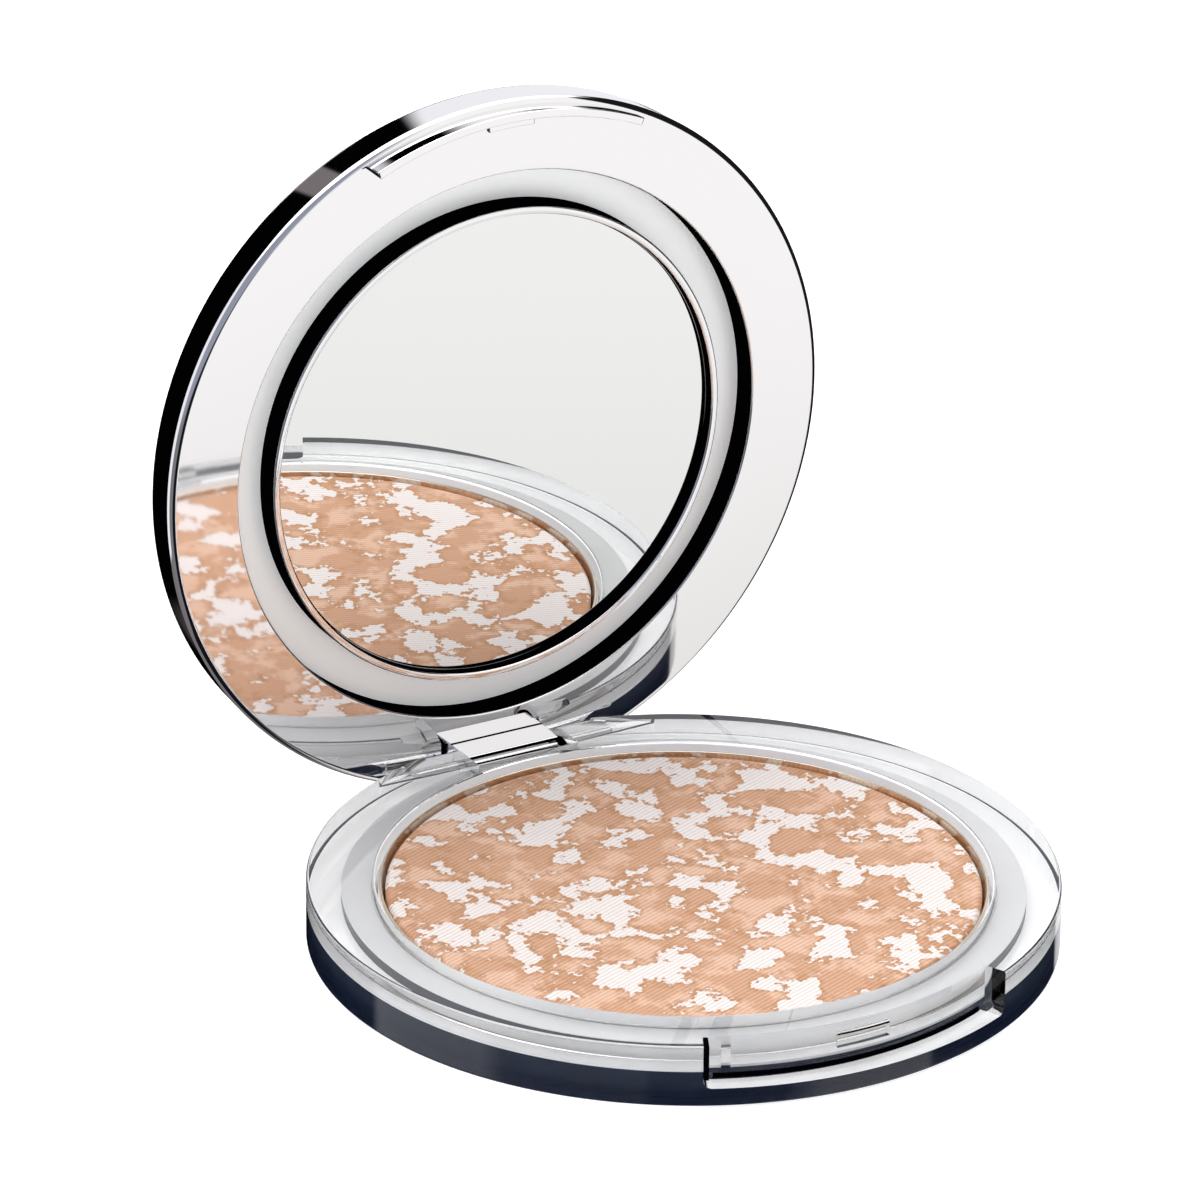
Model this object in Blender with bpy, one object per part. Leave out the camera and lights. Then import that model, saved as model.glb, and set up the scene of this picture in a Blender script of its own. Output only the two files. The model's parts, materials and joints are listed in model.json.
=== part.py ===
"""Round powder compact, standing open on its base.

The base is a thick clear ring with a navy bottom and a silver tray inside it.  It holds a round
metal pan of pressed powder.  The lid is a thick bright disc with a round mirror.  It turns on a
steel pin at the back of the base, and its front lip drops into a thumb notch when it is shut.

The origin is the middle of the underside of the base.  +Z is up and the thumb notch faces -Y.
Lid shapes are drawn shut, in the base's frame, and the pivot empty then swings them open.
"""
import math

import bmesh
import bpy
from mathutils import Matrix, Vector

MM = 0.001

# Clear ring of the base (millimetres, as are all lengths below)
BASE_R = 36.5
BASE_H = 6.3
BORE_R = 30.0
SKIRT_R = 33.1
STEP_Z = 2.85
FOOT_ROUND = 0.3
DECK_ROUND = 0.25

# Thumb notch in the front of the ring, and the catch window in its back wall
NOTCH_R = 34.2
NOTCH_Z = 1.9
NOTCH_HALF_ANGLE = math.radians(27.0)
NOTCH_CORNER = 0.9
WINDOW_HALF_W = 2.9
WINDOW_Z = (3.6, 5.1)
WINDOW_DEPTH = 0.7

# Navy bottom plate, silver tray, pan and powder
PLATE_R = 33.0
PLATE_FLOOR = 0.9
PLATE_RIM_Z = 2.35
PLATE_RIM_W = 0.5
TRAY_FLANGE_Z = (2.4, 2.75)
TRAY_FLOOR_Z = (1.15, 1.5)
TRAY_WELL_R = 30.2
TRAY_WALL = 0.5
GLUE_R = 20.0
GLUE_Z = (1.72, 1.95)
PAN_R = 29.5
PAN_FOOT_R = 29.2
PAN_Z = (2.2, 5.55)
PAN_WALL = 0.35
PAN_FOLD = 0.45                       # slope between the pan's floor and its wall
POWDER_R = 28.85
POWDER_Z = (2.8, 5.35)
POWDER_ROUND = 0.15
POWDER_FOOT = (0.3, 0.65)            # inset and slope at the cake's lower edge

# Hinge
HINGE_Y = 33.86
HINGE_Z = 3.2
PIN_R = 0.75
PIN_HALF_L = 11.0
PIN_BORE_R = 0.84
KNUCKLE_HALF_W = 5.2
KNUCKLE_FRONT = 2.45
KNUCKLE_BACK = 1.85
KNUCKLE_R = 1.85
BAY_HALF_W = 5.6
BAY_FRONT_Y = 30.8
EAR_R = 3.1
EAR_HALF_W = 9.5
OPEN_ANGLE = math.radians(90.0)

# Lid, drawn shut
LID_FACE_Z = 6.65
LID_R = 36.35
LID_BACK_R = 36.0
LID_BACK_Z = 10.9
LID_CROWN_R = 35.5
LID_CROWN_Z = 11.3
LID_DOME = 0.3
LID_FACE_ROUND = 0.6
LID_SHOULDER = (0.15, 0.22)          # chamfer at the rim of the lid's back
WELL_R = 28.8
WELL_TOP_Z = 10.3
LIP_R = (35.05, 35.9)
LIP_Z = 4.25
LIP_HALF_ANGLE = math.radians(24.3)
HOOK_HALF_W = 2.5
HOOK_R = 34.5
HOOK_Z = (4.35, 4.95)

# Mirror frame and mirror
FRAME_R = 28.5
FRAME_FLOOR_Z = (9.45, 10.0)
BOSS_R = (24.2, 24.9)
MIRROR_R = 23.9
MIRROR_Z = (7.75, 8.75)
MIRROR_GLUE_R = 18.0
MIRROR_GLUE_Z = (8.98, 9.22)

RING_STEPS = 96
PIN_STEPS = 24
ROUND_STEPS = 3


def clear_scene():
    for thing in list(bpy.data.objects):
        bpy.data.objects.remove(thing, do_unlink=True)


def material(name, colour, roughness, metallic=0.0, transmission=0.0):
    made = bpy.data.materials.new(name)
    made.use_nodes = True
    shader = made.node_tree.nodes["Principled BSDF"]
    shader.inputs["Base Color"].default_value = (*colour, 1.0)
    shader.inputs["Roughness"].default_value = roughness
    shader.inputs["Metallic"].default_value = metallic
    shader.inputs["Transmission Weight"].default_value = transmission
    return made


def arc(centre, radius, start, end, steps=ROUND_STEPS):
    """Points along an arc, angles in degrees, both ends included."""
    points = []
    for i in range(steps + 1):
        angle = math.radians(start + (end - start) * i / steps)
        points.append((centre[0] + radius * math.cos(angle), centre[1] + radius * math.sin(angle)))
    return points


def add_object(name, bm, look=None, smooth=True):
    bmesh.ops.recalc_face_normals(bm, faces=bm.faces)
    mesh = bpy.data.meshes.new(name)
    bm.to_mesh(mesh)
    bm.free()
    if smooth:
        mesh.shade_smooth()
        mesh.set_sharp_from_angle(angle=math.radians(35))
    made = bpy.data.objects.new(name, mesh)
    bpy.context.scene.collection.objects.link(made)
    if look:
        mesh.materials.append(look)
    return made


def turned(name, outline, look=None, steps=RING_STEPS):
    """Solid of revolution about Z from a closed (radius, height) outline."""
    bm = bmesh.new()
    verts = [bm.verts.new((r * MM, 0.0, z * MM)) for r, z in outline]
    edges = [bm.edges.new((verts[i], verts[(i + 1) % len(verts)])) for i in range(len(verts))]
    bmesh.ops.spin(bm, geom=verts + edges, cent=(0, 0, 0), axis=(0, 0, 1),
                   angle=2 * math.pi, steps=steps, use_merge=True)
    bmesh.ops.remove_doubles(bm, verts=bm.verts, dist=1e-6)
    loose = [e for e in bm.edges if not e.link_faces]
    bmesh.ops.delete(bm, geom=loose, context="EDGES")
    return add_object(name, bm, look)


def slab(name, outline, half_width, look=None):
    """Solid with a (y, z) outline, stretched along X from -half_width to half_width."""
    bm = bmesh.new()
    verts = [bm.verts.new((-half_width * MM, y * MM, z * MM)) for y, z in outline]
    face = bm.faces.new(verts)
    grown = bmesh.ops.extrude_face_region(bm, geom=[face])
    moved = [v for v in grown["geom"] if isinstance(v, bmesh.types.BMVert)]
    bmesh.ops.translate(bm, verts=moved, vec=(2 * half_width * MM, 0, 0))
    return add_object(name, bm, look)


def sector(name, radii, heights, half_angle, steps=24, corner=0.0):
    """Curved block about the front of the Z axis, its lower end edges rounded by corner."""
    bm = bmesh.new()
    rings = []
    for i in range(steps + 1):
        angle = -math.pi / 2 - half_angle + 2 * half_angle * i / steps
        way = Vector((math.cos(angle), math.sin(angle), 0.0))
        ring = []
        for r, z in ((radii[0], heights[0]), (radii[1], heights[0]),
                     (radii[1], heights[1]), (radii[0], heights[1])):
            ring.append(bm.verts.new(way * r * MM + Vector((0, 0, z * MM))))
        rings.append(ring)
    for near, far in zip(rings, rings[1:]):
        for k in range(4):
            bm.faces.new((near[k], near[(k + 1) % 4], far[(k + 1) % 4], far[k]))
    bm.faces.new(rings[0])
    bm.faces.new(rings[-1])
    if corner:
        low_ends = []
        for ring in (rings[0], rings[-1]):
            low_ends.append(bm.edges.get((ring[0], ring[1])))
        bmesh.ops.bevel(bm, geom=low_ends, offset=corner * MM, segments=5, profile=0.5,
                        affect="EDGES")
    return add_object(name, bm)


def rod(name, radius, half_length, centre, look=None):
    """Round bar along X."""
    bm = bmesh.new()
    bmesh.ops.create_cone(bm, cap_ends=True, segments=PIN_STEPS, radius1=radius * MM,
                          radius2=radius * MM, depth=2 * half_length * MM)
    bmesh.ops.rotate(bm, verts=bm.verts, matrix=Matrix.Rotation(math.pi / 2, 3, "Y"))
    bmesh.ops.translate(bm, verts=bm.verts, vec=Vector(centre) * MM)
    return add_object(name, bm, look)


def combine(target, tool, operation):
    """Add a live Boolean to target and turn its tool into a hidden guide."""
    step = target.modifiers.new(tool.name, "BOOLEAN")
    step.operation = operation
    step.solver = "EXACT"
    step.object = tool
    tool.hide_render = True
    tool.display_type = "WIRE"


def soften(target, width, angle=40.0):
    """Small round on the sharp edges of a finished solid."""
    step = target.modifiers.new("edge_round", "BEVEL")
    step.width = width * MM
    step.segments = 2
    step.limit_method = "ANGLE"
    step.angle_limit = math.radians(angle)


def hinge_bay_cutter(name, spare):
    """Clears the room that the lid's knuckle turns in, and spare more on the front side."""
    front = BAY_FRONT_Y - spare
    return slab(name, [(front, -1.0), (BASE_R + 2, -1.0), (BASE_R + 2, BASE_H + 1), (front, BASE_H + 1)],
                BAY_HALF_W + spare)


def build_base(looks):
    ring_outline = (
        [(BORE_R, STEP_Z), (SKIRT_R, STEP_Z), (SKIRT_R, 0.0)]
        + arc((BASE_R - FOOT_ROUND, FOOT_ROUND), FOOT_ROUND, -90, 0)
        + arc((BASE_R - DECK_ROUND, BASE_H - DECK_ROUND), DECK_ROUND, 0, 90)
        + [(BORE_R, BASE_H)])
    ring = turned("base_ring", ring_outline, looks["clear"])
    combine(ring, sector("notch_cutter", (NOTCH_R, BASE_R + 1), (NOTCH_Z, BASE_H + 1),
                         NOTCH_HALF_ANGLE, corner=NOTCH_CORNER), "DIFFERENCE")
    window_angle = WINDOW_HALF_W / NOTCH_R
    combine(ring, sector("window_cutter", (NOTCH_R - WINDOW_DEPTH, NOTCH_R + 0.5), WINDOW_Z,
                         window_angle, steps=4), "DIFFERENCE")
    combine(ring, hinge_bay_cutter("bay_cutter", 0.0), "DIFFERENCE")
    relief = arc((HINGE_Y, HINGE_Z), EAR_R, 30, 80, steps=6)
    ear_outline = ([(BASE_R + 1, BASE_H + 1), (BASE_R + 1, relief[0][1])] + relief
                   + [(relief[-1][0], BASE_H + 1)])
    combine(ring, slab("ear_cutter", ear_outline, EAR_HALF_W), "DIFFERENCE")
    combine(ring, rod("ring_bore_cutter", PIN_BORE_R, BASE_R, (0, HINGE_Y, HINGE_Z)), "DIFFERENCE")

    plate = turned("base_plate", [
        (0, 0), (PLATE_R, 0), (PLATE_R, PLATE_RIM_Z), (PLATE_R - PLATE_RIM_W, PLATE_RIM_Z),
        (PLATE_R - PLATE_RIM_W, PLATE_FLOOR), (0, PLATE_FLOOR)], looks["navy"])
    combine(plate, hinge_bay_cutter("plate_bay_cutter", 0.3), "DIFFERENCE")

    well_wall = TRAY_WELL_R + TRAY_WALL
    tray = turned("pan_tray", [
        (0, TRAY_FLOOR_Z[0]), (well_wall, TRAY_FLOOR_Z[0]), (well_wall, TRAY_FLANGE_Z[0]),
        (PLATE_R, TRAY_FLANGE_Z[0]), (PLATE_R, TRAY_FLANGE_Z[1]), (TRAY_WELL_R, TRAY_FLANGE_Z[1]),
        (TRAY_WELL_R, TRAY_FLOOR_Z[1]), (0, TRAY_FLOOR_Z[1])], looks["silver"])
    combine(tray, hinge_bay_cutter("tray_bay_cutter", 0.0), "DIFFERENCE")

    turned("pan_adhesive", [(0, GLUE_Z[0]), (GLUE_R, GLUE_Z[0]), (GLUE_R, GLUE_Z[1]), (0, GLUE_Z[1])],
           looks["glue"], steps=48)


def build_pan(looks):
    floor_z = PAN_Z[0] + PAN_WALL
    inner = PAN_FOOT_R - PAN_WALL
    turned("pan", [
        (0, PAN_Z[0]), (PAN_FOOT_R - PAN_FOLD, PAN_Z[0]), (PAN_FOOT_R, PAN_Z[0] + PAN_FOLD),
        (PAN_R, PAN_Z[1]), (PAN_R - PAN_WALL, PAN_Z[1]), (inner, floor_z + PAN_FOLD),
        (inner - PAN_FOLD, floor_z), (0, floor_z)], looks["tin"])
    foot = POWDER_R - POWDER_FOOT[0]
    turned("powder", [
        (0, POWDER_Z[0]), (foot - POWDER_FOOT[1], POWDER_Z[0]), (foot, POWDER_Z[0] + POWDER_FOOT[1])]
        + arc((POWDER_R - POWDER_ROUND, POWDER_Z[1] - POWDER_ROUND), POWDER_ROUND, 0, 90)
        + [(0, POWDER_Z[1])], looks["powder"])


def build_pin(looks):
    pin = rod("hinge_pin", PIN_R, PIN_HALF_L, (0, HINGE_Y, HINGE_Z), looks["steel"])
    soften(pin, 0.12)


def knuckle_outline():
    """Side view (y, z) of the knuckle: flat front and back, round nose about the pin."""
    front = HINGE_Y - KNUCKLE_FRONT
    back = HINGE_Y + KNUCKLE_BACK
    root_z = LID_FACE_Z + 0.6
    nose = arc((HINGE_Y, HINGE_Z), KNUCKLE_R, 180, 360, steps=12)
    return [(back, root_z), (front - 0.1, root_z), (front, HINGE_Z + 0.2)] + nose


def build_lid(looks, pivot):
    shell_outline = (
        [(0, WELL_TOP_Z), (WELL_R, WELL_TOP_Z), (WELL_R, LID_FACE_Z)]
        + arc((LID_R - LID_FACE_ROUND, LID_FACE_Z + LID_FACE_ROUND), LID_FACE_ROUND, -90, 0, steps=4)
        + [(LID_BACK_R, LID_BACK_Z), (LID_BACK_R - LID_SHOULDER[0], LID_BACK_Z + LID_SHOULDER[1]), (LID_CROWN_R, LID_CROWN_Z)]
        + [(LID_CROWN_R * s, LID_CROWN_Z + LID_DOME * (1 - s * s)) for s in (0.75, 0.5, 0.25, 0.0)])
    shell = turned("lid_shell", shell_outline, looks["chrome"])
    combine(shell, sector("lip_adder", LIP_R, (LIP_Z, LID_FACE_Z + 0.5), LIP_HALF_ANGLE), "UNION")
    combine(shell, sector("hook_adder", (HOOK_R, sum(LIP_R) / 2), HOOK_Z, HOOK_HALF_W / HOOK_R, steps=4),
            "UNION")
    combine(shell, slab("knuckle_adder", knuckle_outline(), KNUCKLE_HALF_W), "UNION")
    combine(shell, rod("knuckle_bore_cutter", PIN_BORE_R, KNUCKLE_HALF_W + 1, (0, HINGE_Y, HINGE_Z)),
            "DIFFERENCE")

    turned("mirror_frame", [
        (0, FRAME_FLOOR_Z[0]), (BOSS_R[0], FRAME_FLOOR_Z[0]), (BOSS_R[0], LID_FACE_Z),
        (BOSS_R[1], LID_FACE_Z), (BOSS_R[1], FRAME_FLOOR_Z[0]), (FRAME_R, FRAME_FLOOR_Z[0]),
        (FRAME_R, FRAME_FLOOR_Z[1]), (0, FRAME_FLOOR_Z[1])], looks["satin"])
    turned("mirror", [(0, MIRROR_Z[0]), (MIRROR_R, MIRROR_Z[0]), (MIRROR_R, MIRROR_Z[1]),
                      (0, MIRROR_Z[1])], looks["mirror"])
    turned("mirror_adhesive", [
        (0, MIRROR_GLUE_Z[0]), (MIRROR_GLUE_R, MIRROR_GLUE_Z[0]),
        (MIRROR_GLUE_R, MIRROR_GLUE_Z[1]), (0, MIRROR_GLUE_Z[1])], looks["glue"], steps=48)
    lid_names = ("lid_shell", "mirror_frame", "mirror", "mirror_adhesive", "lip_adder", "hook_adder",
                 "knuckle_adder", "knuckle_bore_cutter")
    for name in lid_names:
        piece = bpy.data.objects[name]
        piece.parent = pivot
        piece.matrix_parent_inverse = Matrix.Translation(-pivot.location)


def make_pivot():
    pivot = bpy.data.objects.new("lid_pivot", None)
    bpy.context.scene.collection.objects.link(pivot)
    pivot.location = Vector((0, HINGE_Y, HINGE_Z)) * MM
    return pivot


def main():
    clear_scene()
    looks = {
        "clear": material("clear_acrylic", (0.86, 0.87, 0.90), 0.02, transmission=1.0),
        "navy": material("navy_plastic", (0.02, 0.03, 0.07), 0.25),
        "silver": material("silver_lacquer", (0.78, 0.79, 0.81), 0.3),
        "glue": material("glue_film", (0.85, 0.84, 0.80), 0.6),
        "tin": material("tinplate", (0.80, 0.78, 0.74), 0.25, metallic=1.0),
        "powder": material("pressed_powder", (0.67, 0.39, 0.24), 0.9),
        "steel": material("pin_steel", (0.62, 0.62, 0.63), 0.3, metallic=1.0),
        "chrome": material("bright_chrome", (0.86, 0.86, 0.87), 0.04, metallic=1.0),
        "satin": material("satin_chrome", (0.80, 0.80, 0.80), 0.3, metallic=1.0),
        "mirror": material("mirror_glass", (0.92, 0.93, 0.93), 0.01, metallic=1.0),
    }
    build_base(looks)
    build_pan(looks)
    build_pin(looks)
    pivot = make_pivot()
    build_lid(looks, pivot)
    pivot.rotation_euler = (-OPEN_ANGLE, 0, 0)


main()
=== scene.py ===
"""Looks of the powder compact: fine meshes, procedural materials, soft studio light."""
import json
import math

import bmesh
import bpy
from mathutils import Matrix, Vector


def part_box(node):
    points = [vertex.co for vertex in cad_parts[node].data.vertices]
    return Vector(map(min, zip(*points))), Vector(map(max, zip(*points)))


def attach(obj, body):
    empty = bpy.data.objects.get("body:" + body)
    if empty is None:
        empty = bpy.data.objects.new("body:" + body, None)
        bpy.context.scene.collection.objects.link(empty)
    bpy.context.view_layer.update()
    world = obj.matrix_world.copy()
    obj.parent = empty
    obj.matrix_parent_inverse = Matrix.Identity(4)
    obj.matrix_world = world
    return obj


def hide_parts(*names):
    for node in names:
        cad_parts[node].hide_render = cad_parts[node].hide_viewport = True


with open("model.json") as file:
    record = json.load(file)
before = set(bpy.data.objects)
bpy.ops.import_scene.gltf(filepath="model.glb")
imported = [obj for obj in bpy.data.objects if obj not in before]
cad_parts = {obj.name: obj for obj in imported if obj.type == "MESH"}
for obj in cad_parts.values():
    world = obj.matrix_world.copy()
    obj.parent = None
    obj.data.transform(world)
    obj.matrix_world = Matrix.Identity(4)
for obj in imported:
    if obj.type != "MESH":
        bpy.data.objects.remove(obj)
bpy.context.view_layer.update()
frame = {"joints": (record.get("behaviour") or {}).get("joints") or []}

MM = 0.001

# Sizes read from the frame, in millimetres
BASE_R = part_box("base_ring")[1].x / MM
BASE_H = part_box("base_ring")[1].z / MM
TRAY_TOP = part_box("pan_tray")[1].z / MM
TRAY_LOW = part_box("pan_tray")[0].z / MM
PAN_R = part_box("pan")[1].x / MM
PAN_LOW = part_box("pan")[0].z / MM
PAN_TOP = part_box("pan")[1].z / MM
POWDER_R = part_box("powder")[1].x / MM
POWDER_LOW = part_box("powder")[0].z / MM
POWDER_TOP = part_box("powder")[1].z / MM
LID_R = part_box("lid_shell")[1].x / MM
MIRROR_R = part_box("mirror")[1].x / MM
FRAME_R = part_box("mirror_frame")[1].x / MM
HINGE = Vector(frame["joints"][0]["pos_m"]) / MM
SHUT_ANGLE = math.radians(90.0)

# Heights of the shut lid's pieces, read from the open lid, whose face looks along -Y
LID_FACE_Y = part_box("mirror_frame")[0].y / MM
LID_FACE_Z = HINGE.z + LID_FACE_Y - HINGE.y
LID_BACK_Z = HINGE.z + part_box("lid_shell")[1].y / MM - HINGE.y
MIRROR_FACE_Z = HINGE.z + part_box("mirror")[0].y / MM - HINGE.y
MIRROR_REAR_Z = HINGE.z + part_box("mirror")[1].y / MM - HINGE.y
FRAME_REAR_Z = HINGE.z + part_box("mirror_frame")[1].y / MM - HINGE.y

# The clear ring
BORE_R = 30.0
SKIRT_R = 33.1                    # the recess under the deck that takes the tray and the plate
STEP_Z = 2.85
FOOT_ROUND = 0.3
RIM_ROUND = 0.28
BORE_ROUND = 0.18
STEP_ROUND = 0.1
NOTCH_R = 34.2
NOTCH_Z = 1.9
NOTCH_HALF_ANGLE = math.radians(27.0)
NOTCH_CORNER = 0.9
WINDOW_HALF_W = 2.9
WINDOW_Z = (3.6, 5.1)
WINDOW_DEPTH = 0.7
BAY_HALF_W = 5.6
BAY_FRONT_Y = 30.8
EAR_R = 3.1
EAR_RELIEF = (30, 80)             # degrees about the pin
EAR_HALF_W = 9.5
PIN_BORE_R = 0.84

# Painted shade: dark sheets along the notch and its window, where the clear plastic shows only shade
SHADE_GAP = 0.02
SHADE_THICK = 0.1
WINDOW_SHADE_H = 0.2
FOOT_SHADE_TOP = 0.5              # above the notch's ledge
FOOT_SHADE_INSET = 0.03           # radians
END_SHADE_HALF_ANGLE = 0.007
END_SHADE_LOW = 0.8               # above the notch's ledge
END_SHADE_MARGIN = 0.15

# Tray, plate and pan
TOUCH = 0.02                      # overlap that seats the tray and plate against the clear ring
FLANGE_THICK = 0.15
PLATE_RIM = 0.5
PLATE_THICK = 0.9
PLATE_SPARE = 0.3                 # room left about the hinge bay
TRAY_WALL_R = (30.2, 30.7)
TRAY_THICK = 0.35
TRAY_SPARE = 0.1
OPENING_HIGH = 4.0
PAN_WALL = 0.3
PAN_TAPER = 0.3
PAN_FOOT_ROUND = 0.4
PAN_RIM_ROUND = 0.12
SLEEVE_THICK = 0.09
SLEEVE_INSET = 0.06
LINING_THICK = 0.08
LINING_INSET = 0.1
GAP_SHADE_R = 2.35
GAP_SHADE_HALF_W = 0.17

# The lid
WELL_R = 28.8
WELL_TOP_Z = 10.3
WELL_ROUND = 0.15
FACE_ROUND = 0.7
BACK_ROUND = 0.6
DOME = 0.3
CROWN_R = 35.2
LID_TAPER = 0.35
LIP_R = (35.05, 35.6)
LIP_FLARE = 0.3
LIP_Z = 4.25
LIP_ROOT = 0.4
LIP_HALF_ANGLE = math.radians(24.3)
HOOK_HALF_W = 2.5
HOOK_R = 34.5
HOOK_ROOT = 0.3
HOOK_Z = (4.35, 4.95)
KNUCKLE_HALF_W = 5.2
KNUCKLE_FRONT = 2.45
KNUCKLE_BACK = 1.85
KNUCKLE_R = 1.85
KNUCKLE_STEP = 0.2                # the front step above the pin's axis
KNUCKLE_LEAN = 0.1
KNUCKLE_ROOT = 0.5
KNUCKLE_SHADE_INSET = 0.05
BOSS_R = (24.2, 24.9)
BOSS_ROUND = 0.15
GROOVE_Z = 9.45
GROOVE_WALL = 0.1
GROOVE_WALL_EDGE = 0.22           # bright edge left above the walls that are painted black, a painted dark reflection
GROOVE_WALL_INSET = 0.06
UNDERLAP = 0.2                    # the groove's floor and the glass reach under the walls

# Ribs pressed into the powder
RIB_PITCH = 0.5
RIB_SLANT = math.radians(21.4)

FINE = 240                        # columns of the turned pieces
OVERRUN = 1.0                     # cutters run past the surface by this
CREASE = 40.0                     # degrees above which a carved edge is sharp
EDGE_ROUND = 0.12                 # softened edges of the small metal pieces

# The studio, in metres, and the cards that the chrome mirrors
TABLE_HALF = 3.0
TABLE_GAP = 0.00002
BACKDROP_R = (2.8, 2.9)
BACKDROP_Z = (-0.01, 2.5)
CARD_WHITE = (0.92, 0.925, 0.96)
CARD_BLACK = (0.0005, 0.0005, 0.0009)
CARD_GREY = (0.19, 0.17, 0.18)
SIDE_DARK = (0.01, 0.01, 0.012)
TABLE_DARK = (0.006, 0.007, 0.010)
TABLE_GREY = (0.19, 0.195, 0.21)
TABLE_NEAR = (0.84, 0.84, 0.82)
TABLE_FAR = (1.01, 1.0, 1.0)
ROOM_DIM = (0.30, 0.32, 0.40)
ROOM_PALE = (1.0, 1.0, 0.99)
LAMP = (3.0, 3.0, 3.02)


# ---------------------------------------------------------------- mesh helpers

def arc(centre, radius, start, end, steps=5):
    """Points along an arc, angles in degrees, both ends included."""
    points = []
    for i in range(steps + 1):
        angle = math.radians(start + (end - start) * i / steps)
        points.append((centre[0] + radius * math.cos(angle), centre[1] + radius * math.sin(angle)))
    return points


def rounded(corners, steps=4):
    """Closed outline from (a, b, round) corners, each corner cut by an arc of that radius."""
    outline = []
    count = len(corners)
    for i, (a, b, size) in enumerate(corners):
        here = Vector((a, b))
        if size <= 0:
            outline.append((a, b))
            continue
        before = (Vector(corners[i - 1][:2]) - here).normalized()
        after = (Vector(corners[(i + 1) % count][:2]) - here).normalized()
        half = before.angle(after) / 2
        reach = size / math.tan(half)
        centre = here + (before + after).normalized() * (size / math.sin(half))
        first = here + before * reach - centre
        last = here + after * reach - centre
        turn = math.atan2(first.x * last.y - first.y * last.x, first.dot(last))
        for k in range(steps + 1):
            spot = Matrix.Rotation(turn * k / steps, 2) @ first + centre
            outline.append((spot.x, spot.y))
    return outline


def finish_mesh(name, bm, sharp=50.0):
    """Object from the bmesh, smooth but for edges above sharp degrees."""
    bmesh.ops.recalc_face_normals(bm, faces=bm.faces)
    mesh = bpy.data.meshes.new(name)
    bm.to_mesh(mesh)
    bm.free()
    mesh.shade_smooth()
    mesh.set_sharp_from_angle(angle=math.radians(sharp))
    made = bpy.data.objects.new(name, mesh)
    bpy.context.scene.collection.objects.link(made)
    return made


def turned(name, outline, steps=FINE):
    """Solid of revolution about Z from a closed (radius, height) outline in millimetres. Points
    on the axis have radius 0 exactly."""
    bm = bmesh.new()
    columns = []
    for r, z in outline:
        if r == 0:
            columns.append([bm.verts.new((0, 0, z * MM))] * steps)
            continue
        column = []
        for k in range(steps):
            angle = 2 * math.pi * k / steps
            column.append(bm.verts.new((r * MM * math.cos(angle), r * MM * math.sin(angle), z * MM)))
        columns.append(column)
    for i, column in enumerate(columns):
        after = columns[(i + 1) % len(columns)]
        for k in range(steps):
            m = (k + 1) % steps
            corners = [column[k], column[m], after[m], after[k]]
            corners = [v for n, v in enumerate(corners) if v not in corners[:n]]
            if len(corners) > 2:
                bm.faces.new(corners)
    return finish_mesh(name, bm)


def slab(name, outline, half_width):
    """Solid with a (y, z) outline, stretched along X from -half_width to half_width."""
    bm = bmesh.new()
    face = bm.faces.new([bm.verts.new((-half_width * MM, y * MM, z * MM)) for y, z in outline])
    grown = bmesh.ops.extrude_face_region(bm, geom=[face])
    moved = [v for v in grown["geom"] if isinstance(v, bmesh.types.BMVert)]
    bmesh.ops.translate(bm, verts=moved, vec=(2 * half_width * MM, 0, 0))
    return finish_mesh(name, bm)


def sector(name, radii, heights, half_angle, corner=0.0, flare=0.0):
    """Curved block about the front of the Z axis, its lower end edges rounded by corner.
    Its columns stand at the same angles as those of the turned pieces. The outer wall leans
    out by flare at the lower end."""
    pitch = 2 * math.pi / FINE
    inner = int(half_angle / pitch - 0.01)          # whole steps short of the end columns
    turns = [-half_angle] + [k * pitch for k in range(-inner, inner + 1)] + [half_angle]
    bm = bmesh.new()
    rings = []
    for turn in turns:
        way = Vector((math.sin(turn), -math.cos(turn), 0.0))
        ring = []
        for r, z in ((radii[0], heights[0]), (radii[1] + flare, heights[0]),
                     (radii[1], heights[1]), (radii[0], heights[1])):
            ring.append(bm.verts.new(way * r * MM + Vector((0, 0, z * MM))))
        rings.append(ring)
    for near, far in zip(rings, rings[1:]):
        for k in range(4):
            bm.faces.new((near[k], near[(k + 1) % 4], far[(k + 1) % 4], far[k]))
    bm.faces.new(rings[0])
    bm.faces.new(rings[-1])
    if corner:
        low_ends = [bm.edges.get((ring[0], ring[1])) for ring in (rings[0], rings[-1])]
        bmesh.ops.bevel(bm, geom=low_ends, offset=corner * MM, segments=8, profile=0.5,
                        affect="EDGES")
    return finish_mesh(name, bm)


def rod(name, radius, half_length, centre, steps=48):
    """Round bar along X."""
    bm = bmesh.new()
    bmesh.ops.create_cone(bm, cap_ends=True, segments=steps, radius1=radius * MM,
                          radius2=radius * MM, depth=2 * half_length * MM)
    bmesh.ops.rotate(bm, verts=bm.verts, matrix=Matrix.Rotation(math.pi / 2, 3, "Y"))
    bmesh.ops.translate(bm, verts=bm.verts, vec=Vector(centre) * MM)
    return finish_mesh(name, bm)


def wall_ring(name, radius, thickness, low, high):
    """Thin upright ring: the polished wall of a groove."""
    outer = radius + thickness
    foot_round = 0.02
    ring = turned(name, rounded([(radius, low, foot_round), (outer, low, foot_round),
                                 (outer, high, 0), (radius, high, 0)]))
    flatten(ring)
    return ring


def settle(target):
    """Turns the modified shape into the object's own mesh."""
    graph = bpy.context.evaluated_depsgraph_get()
    shape = bpy.data.meshes.new_from_object(target.evaluated_get(graph))
    target.modifiers.clear()
    target.data = shape


def carve(target, tools):
    """Cuts the tools out of the target and removes them."""
    for tool in tools:
        step = target.modifiers.new("cut", "BOOLEAN")
        step.operation = "DIFFERENCE"
        step.solver = "EXACT"
        step.object = tool
    settle(target)
    for tool in tools:
        bpy.data.objects.remove(tool, do_unlink=True)


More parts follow.
